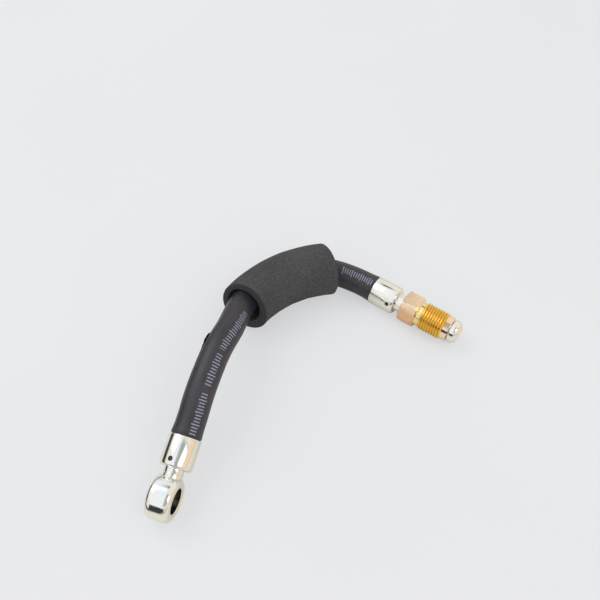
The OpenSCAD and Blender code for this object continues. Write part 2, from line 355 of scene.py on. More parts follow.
def makeSleeve():
    s = sleeveSet
    plane = rotation(s["turn"], "Z", 3) @ rotation(s["tilt"], "Y", 3)
    axis = plane @ Vector((0, 0, 1))
    centre = Vector(s["centre"])
    whole = math.radians(s["to"] - s["from"]) * s["bendRadius"]
    frames = []
    lengths = []
    for i in range(s["rings"] + 1):
        # rings crowd towards both ends, where the edges are rounded
        share = 0.5 - 0.5 * math.cos(math.pi * i / s["rings"])
        angle = math.radians(s["to"] + (s["from"] - s["to"]) * share)
        out = plane @ Vector((math.cos(angle), math.sin(angle), 0))
        frames.append((centre + out * s["bendRadius"], -out, axis))
        lengths.append(share * whole)

    def edgeDrop(ring):
        reach = min(lengths[ring], whole - lengths[ring])
        if reach >= s["edge"]:
            return 0
        return s["edge"] - math.sqrt(s["edge"] ** 2 - (s["edge"] - reach) ** 2)

    def outer(ring, angle):
        place = lengths[ring]
        innerSide = max(0, math.cos(angle)) ** 2
        middle = math.sin(math.pi * place / whole)
        swirl = s["creaseSwirl"] * math.sin(angle * 2 + 0.6)
        folds = math.sin(place * s["creaseRate"] + swirl) * 0.5 + 0.5
        crease = s["creases"] * innerSide * middle * folds ** 4
        belly = s["sag"] * max(0, math.cos(angle - math.radians(s["sagWay"]))) ** 4
        flank = max(0, math.cos(angle - math.radians(s["pinchWay"]))) ** 2
        pinch = s["pinch"] * flank * max(0, 1 - place / s["pinchRun"])
        rateRound, rateAlong = s["lumpRates"]
        spot = Vector((math.cos(angle) * rateRound, math.sin(angle) * rateRound, place * rateAlong))
        return s["outer"] + belly - crease - pinch + s["lumps"] * noise.noise(spot) - edgeDrop(ring)

    def inner(ring, angle):
        return s["inner"] + edgeDrop(ring) * s["innerEdge"]

    sleeve = tubeMesh("foamSleeve", frames, outer, inner, s["sides"], lengths)
    slantEnds(sleeve, frames, lengths)
    # along the sleeve, its map gives the distance from the nearer cut
    for loop in sleeve.data.uv_layers["UVMap"].data:
        loop.uv.y = min(loop.uv.y, whole * mm - loop.uv.y)
    smoothed(sleeve, 50)
    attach(sleeve, "sleeve")
    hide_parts("foam_sleeve")
    print("sleeve made")
    return sleeve


foamSleeve = makeSleeve()


# turned parts: a profile of (radius, height) in mm, drawn upright and spun round +Z
turnedSet = {
    "steps": 96,
    "fineSteps": 128,
    "merge": 0.0005,    # mm between points that become one
    "overcut": 1,       # mm by which a cutting tool stands proud
}


def arc(centre, radius, start, end, steps):
    turns = [math.radians(start + (end - start) * k / steps) for k in range(steps + 1)]
    return [(centre[0] + radius * math.cos(a), centre[1] + radius * math.sin(a)) for a in turns]


def drawProfile(name, points):
    bpy.ops.object.select_all(action="DESELECT")
    bpy.ops.mesh.primitive_plane_add(size=mm)
    obj = bpy.context.active_object
    obj.name = name
    bpy.ops.object.mode_set(mode="EDIT")
    bpy.ops.mesh.merge(type="CENTER")
    bpy.ops.transform.translate(value=(points[0][0] * mm, 0, points[0][1] * mm))
    for (r0, z0), (r1, z1) in zip(points, points[1:]):
        step = ((r1 - r0) * mm, 0, (z1 - z0) * mm)
        bpy.ops.mesh.extrude_vertices_move(TRANSFORM_OT_translate={"value": step})
    bpy.ops.object.mode_set(mode="OBJECT")
    corners = obj.data.vertices
    for v in corners:
        v.select = v.index in (0, len(corners) - 1)
    bpy.ops.object.mode_set(mode="EDIT")
    bpy.ops.mesh.edge_face_add()
    bpy.ops.object.mode_set(mode="OBJECT")
    return obj


def turned(name, points, steps=turnedSet["steps"]):
    obj = drawProfile(name, points)
    bpy.ops.object.mode_set(mode="EDIT")
    bpy.ops.mesh.select_all(action="SELECT")
    bpy.ops.mesh.spin(steps=steps, angle=2 * math.pi, center=(0, 0, 0), axis=(0, 0, 1))
    bpy.ops.mesh.select_all(action="SELECT")
    bpy.ops.mesh.remove_doubles(threshold=turnedSet["merge"] * mm)
    bpy.ops.mesh.normals_make_consistent(inside=False)
    bpy.ops.object.mode_set(mode="OBJECT")
    return obj


def placed(obj, place):
    onlySelect(obj)
    obj.matrix_world = place
    bpy.ops.object.transform_apply(location=True, rotation=True, scale=True)
    return obj


def carve(obj, tool, operation):
    onlySelect(obj)
    cut = obj.modifiers.new("cut", "BOOLEAN")
    cut.operation = operation
    cut.object = tool
    cut.solver = "EXACT"
    bpy.ops.object.modifier_apply(modifier="cut")
    bpy.data.objects.remove(tool)
    return obj


def joined(obj, other):
    onlySelect(obj)
    other.select_set(True)
    bpy.ops.object.join()
    return obj


def standsFor(obj, node, body):
    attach(obj, body)
    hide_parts(node)
    return obj


# banjo eye, upright with its bore along +Z, then laid on its side
eyeSet = {
    "radius": 10.5,
    "halfWidth": 6.0,
    "round": 2.2,               # rounding of the rim, across and along the bore
    "crown": 3.4,
    "roundSteps": 14,
    "bore": 6.05,
    "countersink": 0.4,
    "bossFoot": 6.2,
    "spigotRadius": 3.63,
    "spigotDepth": 2.2,
}


def makeEye():
    e = eyeSet
    fine, overcut = turnedSet["fineSteps"], turnedSet["overcut"]
    layDown = rotation(90, "Y")
    half, bore, sink = e["halfWidth"], e["bore"], e["countersink"]
    quarter = [(e["radius"] - e["round"] + x, half - e["crown"] * (1 - y / e["round"]))
               for x, y in arc((0, 0), e["round"], 0, 90, e["roundSteps"])]
    rim = [(x, -y) for x, y in quarter[::-1]] + quarter
    eye = turned("banjoEye", [(0, -half)] + rim + [(0, half)], fine)
    placed(eye, layDown)
    top, neck = lineSet["bossTop"], lineSet["neckRadius"]
    shoulder = [(neck - inwards, top - back) for inwards, back in lineSet["shoulder"]]
    boss = turned("boss", [(0, e["bossFoot"]), (neck, e["bossFoot"])] + shoulder + [(0, top)])
    carve(eye, placed(boss, alongBanjo(0)), "UNION")
    end, flare = half + overcut, bore + sink + overcut
    hole = turned("hole", [
        (0, -end), (flare, -end), (bore, sink - half), (bore, half - sink), (flare, end), (0, end)], fine)
    carve(eye, placed(hole, layDown), "DIFFERENCE")
    step, end = top - e["spigotDepth"], top + overcut
    narrow, wide = lineSet["stemBore"], e["spigotRadius"]
    drill = turned("drill", [(0, 0), (narrow, 0), (narrow, step), (wide, step), (wide, end), (0, end)])
    carve(eye, placed(drill, alongBanjo(0)), "DIFFERENCE")
    smoothed(eye, 20)
    return standsFor(eye, "banjo_eye", "hose")


banjoEye = makeEye()


# barbed tails, with the lip's groove and the collar that the hose butts against
tailSet = {
    "lip": 1.23,
    "groove": 4.4,
    "grooveEdge": (0.08, 0.1),  # chamfer of the neck beside the groove: inwards, back
    "seat": 0.03,               # air between pieces that sit on each other
    "collarEnd": 2.57,
    "root": 3.59,
    "crest": 3.99,
    "crestAt": 0.3,             # share of a barb's length
    "barbs": 5,
    "end": 14.5,
    "endRadius": 3.0,
    "leadIn": 0.5,
}


def tailProfile():
    t = tailSet
    neck = lineSet["neckRadius"]
    points = [(t["groove"], 0), (t["groove"], t["lip"]), (neck, t["lip"]), (neck, t["collarEnd"])]
    points.append((t["root"], t["collarEnd"]))
    start = t["collarEnd"] + t["seat"]
    pitch = (t["end"] - t["leadIn"] - t["collarEnd"]) / t["barbs"]
    for k in range(t["barbs"]):
        points.append((t["crest"], start + (k + t["crestAt"]) * pitch))
        points.append((t["root"], start + (k + 1) * pitch))
    return points + [(t["endRadius"], t["end"]), (lineSet["stemBore"], t["end"])]


def neckEdge():
    # from the groove out to the full neck, in front of the ferrule's closed end
    inwards, back = tailSet["grooveEdge"]
    neck, seat = lineSet["neckRadius"], tailSet["seat"]
    return [(tailSet["groove"], seat), (neck - inwards, seat), (neck, back)]


def makeBanjoTail():
    gap = lineSet["banjoCrimp"] - lineSet["bossTop"]
    neck = lineSet["neckRadius"]
    spigot = eyeSet["spigotRadius"] - tailSet["seat"]
    foot = [(lineSet["stemBore"], -gap - eyeSet["spigotDepth"]), (spigot, -gap - eyeSet["spigotDepth"])]
    foot += [(spigot, -gap)] + [(neck - inwards, back - gap) for inwards, back in lineSet["shoulder"][::-1]]
    edge = [(r, -z) for r, z in neckEdge()[::-1]]
    tail = turned("banjoTail", foot + edge + tailProfile())
    placed(tail, alongBanjo(lineSet["banjoCrimp"]))
    smoothed(tail)
    return standsFor(tail, "banjo_tail", "hose")


banjoTail = makeBanjoTail()


# crimped ferrules, closed end at the bottom
ferruleSet = {
    "radius": 8.0,
    "wall": 1.0,
    "lip": 1.2,
    "lipHole": 4.43,
    "lipEdge": 0.12,
    "round": 1.5,
    "roundSteps": 8,
    "mouth": [(0, 0.55), (0.06, 0.4), (0, 0.28), (0.08, 0.08), (0.22, 0)],  # inwards, back
    "flare": (0.42, 0.4),       # inside the mouth: outwards, back
    "sight": 1.2,               # radius of the inspection hole
    "sightSides": 48,
    "sightAt": 3.6,
    "sightTurns": (-100, -66),  # degrees round the banjo's ferrule and the union's
}


def makeFerrule(name, sightTurn, place):
    f = ferruleSet
    radius, inside, top = f["radius"], f["radius"] - f["wall"], lineSet["ferruleLength"]
    skin = [(f["lipHole"], f["lip"]), (f["lipHole"], f["lipEdge"]), (f["lipHole"] + f["lipEdge"], 0)]
    skin += arc((radius - f["round"], f["round"]), f["round"], -90, 0, f["roundSteps"])
    skin += [(radius - inwards, top - back) for inwards, back in f["mouth"]]
    skin += [(inside + f["flare"][0], top), (inside, top - f["flare"][1]), (inside, f["lip"])]
    ferrule = turned(name, skin, turnedSet["fineSteps"])
    bpy.ops.object.select_all(action="DESELECT")
    turn = math.radians(sightTurn)
    away = Vector((math.cos(turn), math.sin(turn), 0)) * (inside + f["wall"] / 2)
    bpy.ops.mesh.primitive_cylinder_add(
        vertices=f["sightSides"], radius=f["sight"] * mm, depth=3 * f["wall"] * mm,
        location=(away.x * mm, away.y * mm, f["sightAt"] * mm),
        rotation=(0, math.radians(90), turn))
    carve(ferrule, bpy.context.active_object, "DIFFERENCE")
    placed(ferrule, place)
    return smoothed(ferrule, 25)


banjoSight, unionSight = ferruleSet["sightTurns"]
ferruleBanjo = makeFerrule("ferruleBanjo", banjoSight, alongBanjo(lineSet["banjoCrimp"]))
standsFor(ferruleBanjo, "ferrule_banjo", "hose")
ferruleUnion = makeFerrule("ferruleUnion", unionSight, alongUnion(lineSet["ferruleLength"], -1))
standsFor(ferruleUnion, "ferrule_union", "hose")
print("ferrules made")


# union stem: neck through the nut, and the nose in front of it
noseSet = {
    "from": 33.8,       # beyond the closed end of the ferrule
    "outline": [        # radius and height above that: collar, taper, tip, mouth, drilling
        (6.25, 0), (6.5, 0.25), (6.5, 1.8), (6.38, 2.7), (5.65, 3.75), (5.2, 4.2),
        (4.9, 4.5), (4.15, 4.5), (3.9, 4.3), (2.5, 3.0),
    ],
}


def makeUnionTail():
    back = [(r, -z) for r, z in tailProfile()[::-1]]
    neck = neckEdge() + [(lineSet["neckRadius"], noseSet["from"])]
    nose = [(r, noseSet["from"] + z) for r, z in noseSet["outline"]]
    tail = turned("unionTail", back + neck + nose, turnedSet["fineSteps"])
    placed(tail, alongUnion(lineSet["ferruleLength"]))
    smoothed(tail)
    return standsFor(tail, "union_tail", "hose")


unionTail = makeUnionTail()


# union nut, hexagon first, with a real thread wound on its core
nutSet = {
    "at": 19.1,             # from the mouth of the ferrule
    "acrossFlats": 17.0,
    "hexLength": 9.6,
    "hexFace": 0.96,        # share of the width that stays flat inside the chamfer
    "hexChamfer": 30,
    "hexEdge": 0.16,
    "bore": 4.95,
    "boreEdge": 0.3,
    "relief": 7.0,
    "reliefSlope": (0.5, 0.1),      # where the relief ends and the core begins, before the thread
    "threadFrom": 12.0,
    "threadTo": 25.7,
    "threadLead": 0.1,
    "chamferLead": 0.3,
    "threadRadius": 8.0,
    "flank": 30,
    "core": 7.09,
    "buried": 0.09,         # how far the thread's foot sits in the core
    "pitch": 1.5,
    "turns": 9,
    "turnSteps": 96,
    "pilot": 7.05,
    "pilotEnd": [(0, 0.6), (0.15, 0.2), (0.5, 0)],  # inwards, back
    "length": 29.3,
}


def makeHexagon():
    n = nutSet
    corner = n["acrossFlats"] / 2 / math.cos(math.radians(30))
    face = n["acrossFlats"] / 2 * n["hexFace"]
    bpy.ops.object.select_all(action="DESELECT")
    bpy.ops.mesh.primitive_cylinder_add(
        vertices=6, radius=corner * mm, depth=n["hexLength"] * mm,
        location=(0, 0, n["hexLength"] / 2 * mm))
    hexagon = bpy.context.active_object
    bpy.ops.object.transform_apply(location=True, rotation=True, scale=True)
    bevel = hexagon.modifiers.new("edges", "BEVEL")
    bevel.width = n["hexEdge"] * mm
    bevel.segments = 2
    bevel.limit_method = "ANGLE"
    bpy.ops.object.modifier_apply(modifier="edges")
    wide = corner + turnedSet["overcut"]
    rise = (wide - face) * math.tan(math.radians(n["hexChamfer"]))
    cone = turned("cone", [
        (n["bore"], 0), (face, 0), (wide, rise), (wide, n["hexLength"] - rise),
        (face, n["hexLength"]), (n["bore"], n["hexLength"])], turnedSet["fineSteps"])
    return carve(hexagon, cone, "INTERSECT")


def makeThread():
    n = nutSet
    outer, base = n["threadRadius"], n["core"] - n["buried"]
    crest = n["pitch"] / 16
    foot = crest + (outer - base) * math.tan(math.radians(n["flank"]))
    start = n["threadFrom"] + n["threadLead"]
    ridge = drawProfile("thread", [
        (base, start - foot), (outer, start - crest), (outer, start + crest), (base, start + foot)])
    screw = ridge.modifiers.new("wind", "SCREW")
    screw.angle = 2 * math.pi
    screw.steps = screw.render_steps = n["turnSteps"]
    screw.screw_offset = n["pitch"] * mm
    screw.iterations = n["turns"]
    screw.use_merge_vertices = True
    screw.merge_threshold = turnedSet["merge"] * mm
    onlySelect(ridge)
    bpy.ops.object.modifier_apply(modifier="wind")
    bpy.ops.object.mode_set(mode="EDIT")
    bpy.ops.mesh.select_all(action="SELECT")
    bpy.ops.mesh.fill_holes(sides=0)
    bpy.ops.mesh.select_all(action="SELECT")
    bpy.ops.mesh.normals_make_consistent(inside=False)
    bpy.ops.object.mode_set(mode="OBJECT")
    low, high = n["threadFrom"] - n["chamferLead"], n["threadTo"]
    for v in ridge.data.vertices:
        # the chamfer at both ends runs the thread out into the core
        height, radius = v.co.z / mm, math.hypot(v.co.x, v.co.y) / mm
        limit = base + max(0, min(height - low, high - height))
        if radius > limit:
            v.co.x *= limit / radius
            v.co.y *= limit / radius
    return ridge


def makeNut():
    n = nutSet
    hidden = n["hexLength"] - turnedSet["overcut"]      # the core starts inside the hexagon
    slopeFrom, slopeTo = (n["threadFrom"] - back for back in n["reliefSlope"])
    core = [
        (n["bore"], hidden), (n["relief"], hidden), (n["relief"], slopeFrom), (n["core"], slopeTo),
        (n["core"], n["threadTo"]), (n["pilot"], n["threadTo"] + n["threadLead"])]
    pilot = [(n["pilot"] - inwards, n["length"] - back) for inwards, back in n["pilotEnd"]]
    mouth = [(n["bore"] + n["boreEdge"], n["length"]), (n["bore"], n["length"] - n["boreEdge"])]
    nut = turned("unionNut", core + pilot + mouth, turnedSet["fineSteps"])
    joined(nut, makeHexagon())
    joined(nut, makeThread())
    placed(nut, alongUnion(n["at"]))
    smoothed(nut)
    return standsFor(nut, "union_nut", "nut")


unionNut = makeNut()
print("fittings made")


# shader helpers
def feed(tree, node, inputs):
    # a socket is linked, anything else becomes the input's own value
    for name, value in inputs.items():
        if isinstance(value, bpy.types.NodeSocket):
            tree.links.new(value, node.inputs[name])
        else:
            node.inputs[name].default_value = value
    return node


def addNode(tree, kind, inputs=None, **settings):
    made = tree.nodes.new("ShaderNode" + kind)
    for name, value in settings.items():
        setattr(made, name, value)
    return feed(tree, made, inputs or {})


def ramp(tree, factor, stops):
    made = addNode(tree, "ValToRGB", {"Fac": factor})
    while len(made.color_ramp.elements) < len(stops):
        made.color_ramp.elements.new(0.5)
    for element, (place, colour) in zip(made.color_ramp.elements, stops):
        element.position = place
        element.color = (*colour, 1)
    return made.outputs["Color"]


def fade(tree, value, start, end, low=0, high=1):
    # low at start, high at end, held beyond both
    return addNode(tree, "MapRange", {
        "Value": value, "From Min": start, "From Max": end, "To Min": low, "To Max": high}).outputs[0]


def calculate(tree, operation, first, second=0):
    return addNode(tree, "Math", {0: first, 1: second}, operation=operation).outputs[0]


def times(tree, *factors):
    product = factors[0]
    for factor in factors[1:]:
        product = calculate(tree, "MULTIPLY", product, factor)
    return product


def compare(tree, operation, first, second):
    # DISTANCE or DOT_PRODUCT of two vectors
    return addNode(tree, "VectorMath", {0: first, 1: second}, operation=operation).outputs["Value"]


def opaque(colour):
    return colour if isinstance(colour, bpy.types.NodeSocket) else (*colour, 1)


def blend(tree, factor, below, above, how="MIX"):
    # Mix has sockets of one name for several kinds of value: 6 and 7 are the colours
    made = addNode(
        tree, "Mix", {0: factor, 6: opaque(below), 7: opaque(above)}, data_type="RGBA", blend_type=how)
    return made.outputs[2]


def split(tree, vector):
    return addNode(tree, "SeparateXYZ", {"Vector": vector}).outputs


def cloud(tree, vector, scale, detail, **more):
    inputs = {"Vector": vector, "Scale": scale, "Detail": detail, **more}
    return addNode(tree, "TexNoise", inputs).outputs["Fac"]


def woven(tree, vector, scale, distortion, way):
    inputs = {"Vector": vector, "Scale": scale, "Distortion": distortion}
    return addNode(tree, "TexWave", inputs, bands_direction=way).outputs["Fac"]


def bumped(tree, height, strength, depth):
    # depth in mm
    inputs = {"Height": height, "Strength": strength, "Distance": depth * mm}
    return addNode(tree, "Bump", inputs).outputs[0]


def objectPlace(tree):
    return addNode(tree, "TexCoord").outputs["Object"]


def partPlace(tree, place):
    # object coordinates turned so that Z runs along the part's own axis
    back = place.inverted()
    inputs = {"Vector": objectPlace(tree), "Location": back.to_translation(), "Rotation": back.to_euler()}
    return addNode(tree, "Mapping", inputs).outputs[0]


def newMaterial(name):
    made = bpy.data.materials.new(name)
    made.use_nodes = True
    return made, made.node_tree, made.node_tree.nodes["Principled BSDF"]


def newGroup(name, inputs, outputs):
    group = bpy.data.node_groups.new(name, "ShaderNodeTree")
    for title, kind, value in inputs:
        socket = group.interface.new_socket(title, in_out="INPUT", socket_type="NodeSocket" + kind)
        if value is not None:
            socket.default_value = value
    for title, kind in outputs:
        group.interface.new_socket(title, in_out="OUTPUT", socket_type="NodeSocket" + kind)
    return group, group.nodes.new("NodeGroupInput").outputs, group.nodes.new("NodeGroupOutput")


def turningMarksGroup():
    # fine rings left by the tool, round the Z of the vector that comes in
    group, given, result = newGroup("turningMarks", [
        ("Vector", "Vector", None), ("Spacing", "Float", 0.1)], [("Height", "Float")])
    perMetre = calculate(group, "DIVIDE", 1 / mm, given["Spacing"])
    stretch = addNode(group, "CombineXYZ", {"X": 90, "Y": 90, "Z": perMetre}).outputs[0]
    scaled = addNode(group, "VectorMath", {0: given["Vector"], 1: stretch}, operation="MULTIPLY").outputs[0]
    feed(group, result, {"Height": cloud(group, scaled, 1, 3, Roughness=0.6)})
    return group


def handlingGroup():
    # smudges from handling
    group, given, result = newGroup("handling", [
        ("Vector", "Vector", None), ("Scale", "Float", 120.0)], [("Smudge", "Float")])
    smears = cloud(group, given["Vector"], given["Scale"], 4, Distortion=0.6)
    feed(group, result, {"Smudge": fade(group, smears, 0.35, 0.7)})
    return group


turningMarks = turningMarksGroup()
handling = handlingGroup()


def smudges(tree, vector, scale):
    return addNode(tree, "Group", {"Vector": vector, "Scale": scale}, node_tree=handling).outputs["Smudge"]


# plating on steel: colours drift a little over the surface
platingSet = {
    "drift": 95,                # how finely they drift
    "smudge": 160,
    "marks": (0.18, 0.02),      # strength and depth of the turning marks
    # colour of the painted shade inside the eye's bore
    "boreShade": (0.40, 0.39, 0.35),
    "zinc": {
        "tones": [(0.3, (0.86, 0.87, 0.87)), (0.5, (0.92, 0.91, 0.87)), (0.62, (0.84, 0.87, 0.89)),
                  (0.75, (0.93, 0.90, 0.83))],
        "roughness": (0.09, 0.16),
    },
    "ferrule": {
        "tones": [(0.3, (0.86, 0.86, 0.84)), (0.48, (0.92, 0.90, 0.85)), (0.6, (0.83, 0.86, 0.86)),
                  (0.72, (0.93, 0.88, 0.80))],
        "roughness": (0.11, 0.19),
    },
    "yellow": {
        "tones": [(0.3, (0.94, 0.90, 0.86)), (0.45, (1.0, 1.0, 1.0)), (0.58, (1.0, 0.94, 0.98)),
                  (0.72, (0.96, 0.97, 0.88))],
        "roughness": (0.12, 0.20),
        # chromate films of different thickness: share of the nut's length, colour
        "film": [(0.0, (0.98, 0.78, 0.56)), (0.31, (0.98, 0.80, 0.60)), (0.35, (0.97, 0.84, 0.52)),
                 (0.42, (0.98, 0.80, 0.26)), (0.86, (0.98, 0.78, 0.24)), (0.90, (0.97, 0.78, 0.64))],
        # painted shade: the darker colour of the thread's roots
        "rootShade": (0.80, 0.50, 0.10),
        "rootShadeRadii": (7.75, 7.2),         # mm, between which the painted shade of the thread's roots begins
        # one flat is painted browner, as painted shade: its way out from the nut's axis, and how far out it
        # is
        "flatShade": (0.78, 0.52, 0.33),
        "flatShadeWay": (-0.429, -0.903, 0),
        "flatShadeOut": (8.2, 8.5),
    },
}


def fromAxis(tree, spot):
    # distance of a point from the Z axis
    flat = addNode(tree, "CombineXYZ", {"X": spot["X"], "Y": spot["Y"]}).outputs[0]
    return compare(tree, "DISTANCE", flat, (0, 0, 0))


def between(tree, value, limits):
    # fade between two values in mm
    return fade(tree, value, limits[0] * mm, limits[1] * mm)


def filmAndPaintedShade(tree, vector, shade):
    # yellow on the thread's crests, amber in its roots as painted shade, peach on the hexagon with one flat
    # painted browner as shade, and pink on the pilot
    look = platingSet["yellow"]
    spot = split(tree, vector)
    film = ramp(tree, times(tree, spot["Z"], 1 / (nutSet["length"] * mm)), look["film"])
    # painted shade: the flat that faces this way is coloured browner
    side = compare(tree, "DOT_PRODUCT", vector, look["flatShadeWay"])
    film = blend(tree, between(tree, side, look["flatShadeOut"]), film, look["flatShade"])
    first, last = nutSet["threadFrom"], nutSet["threadTo"]
    # painted shade: the thread's roots take the darker colour
    root = times(
        tree, between(tree, fromAxis(tree, spot), look["rootShadeRadii"]),
        between(tree, spot["Z"], (first, first + 0.4)), between(tree, spot["Z"], (last + 0.2, last)))
    return blend(tree, 1, blend(tree, root, film, look["rootShade"]), shade, "MULTIPLY")


def shadedBore(tree, vector, shade):
    # painted shade: the bore of the eye is coloured darker, for the shade inside the hole
    edge = eyeSet["bore"] + 0.1
    inside = between(tree, fromAxis(tree, split(tree, vector)), (edge + 0.1, edge))
    return blend(tree, inside, shade, platingSet["boreShade"])


def platedMetal(name, plating, place, spacing, treat):
    look = platingSet[plating]
    made, tree, bsdf = newMaterial(name)
    vector = partPlace(tree, place)
    tone = ramp(tree, cloud(tree, vector, platingSet["drift"], 2, Distortion=0.8), look["tones"])
    if treat:
        tone = treat(tree, vector, tone)
    marks = addNode(tree, "Group", {"Vector": vector, "Spacing": spacing}, node_tree=turningMarks)
    feed(tree, bsdf, {
        "Base Color": tone,
        "Roughness": fade(tree, smudges(tree, vector, platingSet["smudge"]), 0, 1, *look["roughness"]),
        "Normal": bumped(tree, marks.outputs["Height"], *platingSet["marks"]),
        "Metallic": 1,
    })
    return made


# rubber cover with a plain printed scale, a longer tick every fourth one
rubberSet = {
    "colour": (0.024, 0.022, 0.030),
    "worn": (0.040, 0.037, 0.047),
    "smudge": 70,
    "roughness": (0.34, 0.50),
    "grain": (0.25, 0.05),          # strength and depth
    "grainScale": 2600,
    "ink": (0.33, 0.34, 0.46),
    "inkSpots": 1800,               # where it has worn off
    "runs": [(1.5, 21.5), (24.7, 41.2), (43.8, 71.0), (150.0, 170.5)],  # mm along the hose
    "angle": 54,                    # degrees round the hose
    "drifts": [(45, 70, -16), (80, 148, 38)],   # from and to in mm, and degrees gained
    "pitch": 1.5,
    "tickWidth": 0.52,
    "tickHeights": (3.2, 4.4),
    "longEvery": 4,
}


def scaleMask(tree, across, along):
    # 1 on the ticks: across is the share of the way round, along is in metres
    r = rubberSet
    away = calculate(tree, "SUBTRACT", across, r["angle"] / 360)
    for start, end, gain in r["drifts"]:
        drift = times(tree, between(tree, along, (start, end)), gain / 360)
        away = calculate(tree, "SUBTRACT", away, drift)
    pitch, every = r["pitch"] * mm, r["longEvery"]
    step = calculate(tree, "FRACT", times(tree, along, 1 / pitch))
    group = calculate(tree, "FRACT", times(tree, along, 1 / (every * pitch)))
    low, high = (tall / 2 / (2 * math.pi * hoseSet["radius"]) for tall in r["tickHeights"])
    reach = fade(tree, calculate(tree, "LESS_THAN", group, 1 / every), 0, 1, low, high)
    mask = times(
        tree, calculate(tree, "LESS_THAN", step, r["tickWidth"] / r["pitch"]),
        calculate(tree, "LESS_THAN", calculate(tree, "ABSOLUTE", away), reach))
    runs = 0
    for first, last in r["runs"]:
        run = times(tree, calculate(tree, "GREATER_THAN", along, first * mm),
                    calculate(tree, "LESS_THAN", along, last * mm))
        runs = calculate(tree, "ADD", runs, run)
    return times(tree, mask, runs)


def rubberMaterial():
    r = rubberSet
    made, tree, bsdf = newMaterial("coverRubber")
    spot = split(tree, addNode(tree, "UVMap", uv_map="UVMap").outputs[0])
    vector = objectPlace(tree)
    wear = smudges(tree, vector, r["smudge"])
    base = blend(tree, wear, r["colour"], r["worn"])
    kept = ramp(tree, cloud(tree, vector, r["inkSpots"], 2), [(0.3, (0.5, 0.5, 0.5)), (0.55, (1, 1, 1))])
    inked = times(tree, scaleMask(tree, spot["X"], spot["Y"]), kept)
    grain = cloud(tree, vector, r["grainScale"], 3, Roughness=0.65)
    feed(tree, bsdf, {
        "Base Color": blend(tree, inked, base, r["ink"]),
        "Roughness": fade(tree, wear, 0, 1, *r["roughness"]),
        "Normal": bumped(tree, grain, *r["grain"]),
    })
    return made


tapeFinish = {
    "colour": (0.007, 0.007, 0.008),
    "worn": (0.013, 0.012, 0.014),
    "smudge": 150,
    "weaveScale": 900,
    "weave": (0.2, 0.03),   # strength and depth
    "roughness": 0.5,
}


def tapeMaterial():
    t = tapeFinish
    made, tree, bsdf = newMaterial("blankTape")
    vector = objectPlace(tree)
    feed(tree, bsdf, {
        "Base Color": blend(tree, smudges(tree, vector, t["smudge"]), t["colour"], t["worn"]),
        "Roughness": t["roughness"],
        "Normal": bumped(tree, woven(tree, vector, t["weaveScale"], 1.5, "Y"), *t["weave"]),
    })
    return made


# closed-cell foam: fine cells with a mottled skin
foamSet = {
    "colour": (0.050, 0.049, 0.051),
    "pale": (0.088, 0.085, 0.088),
    "cut": (0.045, 0.043, 0.049),   # painted shade: the cut ends, with their open cells, coloured darker than the skin
    "cutShadeReach": 0.4,                 # mm from the cut over which the painted shade fades out
    "cell": 1500,
    "speck": 1100,
    "speckShare": 0.8,              # the rest of the mottling is broad
    "broad": 60,
    "grain": (0.5, 0.12),           # strength and depth
    "roughness": 0.95,
    "gloss": 0.3,
}


def foamMaterial():
    f = foamSet
    made, tree, bsdf = newMaterial("sleeveFoam")
    vector = objectPlace(tree)
    cells = addNode(tree, "TexVoronoi", {"Vector": vector, "Scale": f["cell"]}, feature="F1")
    broad = cloud(tree, vector, f["broad"], 5)
    speck = cloud(tree, vector, f["speck"], 3, Roughness=0.7)
    mottle = calculate(
        tree, "ADD", times(tree, broad, 1 - f["speckShare"]), times(tree, speck, f["speckShare"]))
    skin = ramp(tree, mottle, [(0.40, f["colour"]), (0.60, f["pale"])])
    # the second map coordinate says how far a point is from the nearer cut
    fromCut = split(tree, addNode(tree, "UVMap", uv_map="UVMap").outputs[0])["Y"]
    height = calculate(tree, "ADD", cells.outputs["Distance"], speck)
    feed(tree, bsdf, {
        # painted shade: near the cuts the skin gives way to the darker cut colour
        "Base Color": blend(tree, between(tree, fromCut, (f["cutShadeReach"], 0)), skin, f["cut"]),
        "Roughness": f["roughness"],
        "Specular IOR Level": f["gloss"],
        "Normal": bumped(tree, height, *f["grain"]),
    })
    return made


# inside of the hose
insideSet = {
    "yarn": [(0.2, (0.42, 0.39, 0.31)), (0.8, (0.66, 0.62, 0.52))],
    "yarnRoughness": 0.85,
    "weaveScale": 400,
    "weave": (0.5, 0.1),    # strength and depth
    "rubber": [(0.4, (0.018, 0.018, 0.019)), (0.7, (0.032, 0.031, 0.032))],
    "rubberRoughness": 0.7,
    "rubberScale": 300,
}


def braidMaterial():
    i = insideSet
    made, tree, bsdf = newMaterial("textileBraid")
    weave = woven(tree, objectPlace(tree), i["weaveScale"], 2, "DIAGONAL")
    feed(tree, bsdf, {
        "Base Color": ramp(tree, weave, i["yarn"]),
        "Roughness": i["yarnRoughness"],
        "Normal": bumped(tree, weave, *i["weave"]),
    })
    return made


def innerRubberMaterial():
    i = insideSet
    made, tree, bsdf = newMaterial("innerRubber")
    feed(tree, bsdf, {
        "Base Color": ramp(tree, cloud(tree, objectPlace(tree), i["rubberScale"], 4), i["rubber"]),
        "Roughness": i["rubberRoughness"],
    })
    return made


def paint(obj, material):
    obj.data.materials.clear()
    obj.data.materials.append(material)


